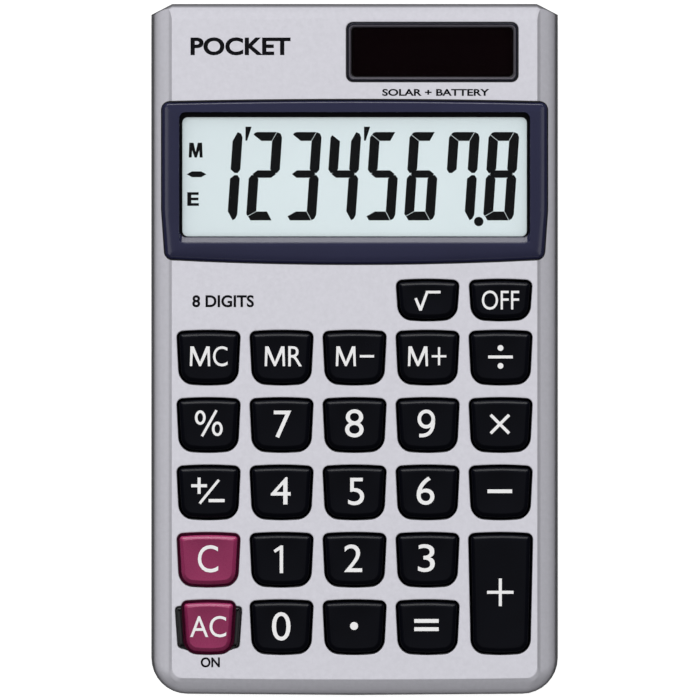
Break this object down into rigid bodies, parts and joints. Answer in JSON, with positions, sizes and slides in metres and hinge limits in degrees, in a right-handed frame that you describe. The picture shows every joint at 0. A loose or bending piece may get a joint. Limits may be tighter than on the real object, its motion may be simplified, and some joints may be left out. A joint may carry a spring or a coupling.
{
  "type": "pocket calculator",
  "caption": "Slim pocket calculator with a brushed metal front, a segment display, a solar cell and a button cell, and separate sprung keys over a rubber keypad.",
  "frame": {"origin": "middle of the calculator's outline, on the rear cover's flat back", "axes": "+X to the right seen from the keys, +Y towards the solar cell end, +Z out of the key face"},
  "size_m": [0.07, 0.119, 0.009],
  "materials": {
    "brushed_metal": "fine brushed satin",
    "case_plastic": "fine matte texture",
    "frame_plastic": "satin gloss navy",
    "clear_plastic": "clear polished acrylic",
    "glass": "clear polished glass",
    "reflector": "pale satin film",
    "solar": "dark glossy cell",
    "key_black": "satin gloss black",
    "key_red": "satin gloss dark pink",
    "guard_black": "satin gloss black",
    "silicone": "matte silicone",
    "board": "green solder mask",
    "epoxy": "black cured epoxy",
    "ceramic": "fired ceramic",
    "steel": "nickel plated",
    "brass": "plated spring brass",
    "lead_red": "wire insulation",
    "lead_black": "wire insulation"
  },
  "bodies": {
    "case": {"front_panel": "brushed_metal", "upper_case": "case_plastic", "rear_cover": "case_plastic", "ac_key_guard": "guard_black", "display_frame": "frame_plastic", "display_window": "clear_plastic", "lcd_polariser": "glass", "lcd_front_glass": "glass", "lcd_rear_glass": "glass", "lcd_reflector": "reflector", "lcd_connector": "silicone", "solar_frame": "frame_plastic", "solar_window": "clear_plastic", "solar_cell": "solar", "rubber_keypad": "silicone", "main_board": "board", "controller_chip": "epoxy", "filter_capacitor_left": "ceramic", "filter_capacitor_right": "ceramic", "regulator_diode": "epoxy", "button_cell": "steel", "battery_contact_negative": "brass", "battery_contact_positive": "brass", "solar_lead_red": "lead_red", "solar_lead_black": "lead_black", "battery_lead_red": "lead_red", "battery_lead_black": "lead_black", "case_screw_1": "steel", "case_screw_2": "steel", "case_screw_3": "steel", "case_screw_4": "steel"},
    "key_sqrt": {"key_sqrt": "key_black"},
    "key_off": {"key_off": "key_black"},
    "key_mc": {"key_mc": "key_black"},
    "key_mr": {"key_mr": "key_black"},
    "key_m_minus": {"key_m_minus": "key_black"},
    "key_m_plus": {"key_m_plus": "key_black"},
    "key_divide": {"key_divide": "key_black"},
    "key_percent": {"key_percent": "key_black"},
    "key_7": {"key_7": "key_black"},
    "key_8": {"key_8": "key_black"},
    "key_9": {"key_9": "key_black"},
    "key_multiply": {"key_multiply": "key_black"},
    "key_sign": {"key_sign": "key_black"},
    "key_4": {"key_4": "key_black"},
    "key_5": {"key_5": "key_black"},
    "key_6": {"key_6": "key_black"},
    "key_minus": {"key_minus": "key_black"},
    "key_c": {"key_c": "key_red"},
    "key_1": {"key_1": "key_black"},
    "key_2": {"key_2": "key_black"},
    "key_3": {"key_3": "key_black"},
    "key_ac": {"key_ac": "key_red"},
    "key_0": {"key_0": "key_black"},
    "key_point": {"key_point": "key_black"},
    "key_equals": {"key_equals": "key_black"},
    "key_plus": {"key_plus": "key_black"}
  },
  "joints": [
    {"name": "key_sqrt_press", "type": "slide", "parent": "case", "child": "key_sqrt", "axis": [0, 0, -1], "range_m": [0, 0.0009], "stiffness_N_per_m": 300, "springref_m": -0.001, "deforming": ["rubber_keypad"]},
    {"name": "key_off_press", "type": "slide", "parent": "case", "child": "key_off", "axis": [0, 0, -1], "range_m": [0, 0.0009], "stiffness_N_per_m": 300, "springref_m": -0.001, "deforming": ["rubber_keypad"]},
    {"name": "key_mc_press", "type": "slide", "parent": "case", "child": "key_mc", "axis": [0, 0, -1], "range_m": [0, 0.0009], "stiffness_N_per_m": 300, "springref_m": -0.001, "deforming": ["rubber_keypad"]},
    {"name": "key_mr_press", "type": "slide", "parent": "case", "child": "key_mr", "axis": [0, 0, -1], "range_m": [0, 0.0009], "stiffness_N_per_m": 300, "springref_m": -0.001, "deforming": ["rubber_keypad"]},
    {"name": "key_m_minus_press", "type": "slide", "parent": "case", "child": "key_m_minus", "axis": [0, 0, -1], "range_m": [0, 0.0009], "stiffness_N_per_m": 300, "springref_m": -0.001, "deforming": ["rubber_keypad"]},
    {"name": "key_m_plus_press", "type": "slide", "parent": "case", "child": "key_m_plus", "axis": [0, 0, -1], "range_m": [0, 0.0009], "stiffness_N_per_m": 300, "springref_m": -0.001, "deforming": ["rubber_keypad"]},
    {"name": "key_divide_press", "type": "slide", "parent": "case", "child": "key_divide", "axis": [0, 0, -1], "range_m": [0, 0.0009], "stiffness_N_per_m": 300, "springref_m": -0.001, "deforming": ["rubber_keypad"]},
    {"name": "key_percent_press", "type": "slide", "parent": "case", "child": "key_percent", "axis": [0, 0, -1], "range_m": [0, 0.0009], "stiffness_N_per_m": 300, "springref_m": -0.001, "deforming": ["rubber_keypad"]},
    {"name": "key_7_press", "type": "slide", "parent": "case", "child": "key_7", "axis": [0, 0, -1], "range_m": [0, 0.0009], "stiffness_N_per_m": 300, "springref_m": -0.001, "deforming": ["rubber_keypad"]},
    {"name": "key_8_press", "type": "slide", "parent": "case", "child": "key_8", "axis": [0, 0, -1], "range_m": [0, 0.0009], "stiffness_N_per_m": 300, "springref_m": -0.001, "deforming": ["rubber_keypad"]},
    {"name": "key_9_press", "type": "slide", "parent": "case", "child": "key_9", "axis": [0, 0, -1], "range_m": [0, 0.0009], "stiffness_N_per_m": 300, "springref_m": -0.001, "deforming": ["rubber_keypad"]},
    {"name": "key_multiply_press", "type": "slide", "parent": "case", "child": "key_multiply", "axis": [0, 0, -1], "range_m": [0, 0.0009], "stiffness_N_per_m": 300, "springref_m": -0.001, "deforming": ["rubber_keypad"]},
    {"name": "key_sign_press", "type": "slide", "parent": "case", "child": "key_sign", "axis": [0, 0, -1], "range_m": [0, 0.0009], "stiffness_N_per_m": 300, "springref_m": -0.001, "deforming": ["rubber_keypad"]},
    {"name": "key_4_press", "type": "slide", "parent": "case", "child": "key_4", "axis": [0, 0, -1], "range_m": [0, 0.0009], "stiffness_N_per_m": 300, "springref_m": -0.001, "deforming": ["rubber_keypad"]},
    {"name": "key_5_press", "type": "slide", "parent": "case", "child": "key_5", "axis": [0, 0, -1], "range_m": [0, 0.0009], "stiffness_N_per_m": 300, "springref_m": -0.001, "deforming": ["rubber_keypad"]},
    {"name": "key_6_press", "type": "slide", "parent": "case", "child": "key_6", "axis": [0, 0, -1], "range_m": [0, 0.0009], "stiffness_N_per_m": 300, "springref_m": -0.001, "deforming": ["rubber_keypad"]},
    {"name": "key_minus_press", "type": "slide", "parent": "case", "child": "key_minus", "axis": [0, 0, -1], "range_m": [0, 0.0009], "stiffness_N_per_m": 300, "springref_m": -0.001, "deforming": ["rubber_keypad"]},
    {"name": "key_c_press", "type": "slide", "parent": "case", "child": "key_c", "axis": [0, 0, -1], "range_m": [0, 0.0009], "stiffness_N_per_m": 300, "springref_m": -0.001, "deforming": ["rubber_keypad"]},
    {"name": "key_1_press", "type": "slide", "parent": "case", "child": "key_1", "axis": [0, 0, -1], "range_m": [0, 0.0009], "stiffness_N_per_m": 300, "springref_m": -0.001, "deforming": ["rubber_keypad"]},
    {"name": "key_2_press", "type": "slide", "parent": "case", "child": "key_2", "axis": [0, 0, -1], "range_m": [0, 0.0009], "stiffness_N_per_m": 300, "springref_m": -0.001, "deforming": ["rubber_keypad"]},
    {"name": "key_3_press", "type": "slide", "parent": "case", "child": "key_3", "axis": [0, 0, -1], "range_m": [0, 0.0009], "stiffness_N_per_m": 300, "springref_m": -0.001, "deforming": ["rubber_keypad"]},
    {"name": "key_ac_press", "type": "slide", "parent": "case", "child": "key_ac", "axis": [0, 0, -1], "range_m": [0, 0.0009], "stiffness_N_per_m": 300, "springref_m": -0.001, "deforming": ["rubber_keypad"]},
    {"name": "key_0_press", "type": "slide", "parent": "case", "child": "key_0", "axis": [0, 0, -1], "range_m": [0, 0.0009], "stiffness_N_per_m": 300, "springref_m": -0.001, "deforming": ["rubber_keypad"]},
    {"name": "key_point_press", "type": "slide", "parent": "case", "child": "key_point", "axis": [0, 0, -1], "range_m": [0, 0.0009], "stiffness_N_per_m": 300, "springref_m": -0.001, "deforming": ["rubber_keypad"]},
    {"name": "key_equals_press", "type": "slide", "parent": "case", "child": "key_equals", "axis": [0, 0, -1], "range_m": [0, 0.0009], "stiffness_N_per_m": 300, "springref_m": -0.001, "deforming": ["rubber_keypad"]},
    {"name": "key_plus_press", "type": "slide", "parent": "case", "child": "key_plus", "axis": [0, 0, -1], "range_m": [0, 0.0009], "stiffness_N_per_m": 300, "springref_m": -0.001, "deforming": ["rubber_keypad"]}
  ]
}
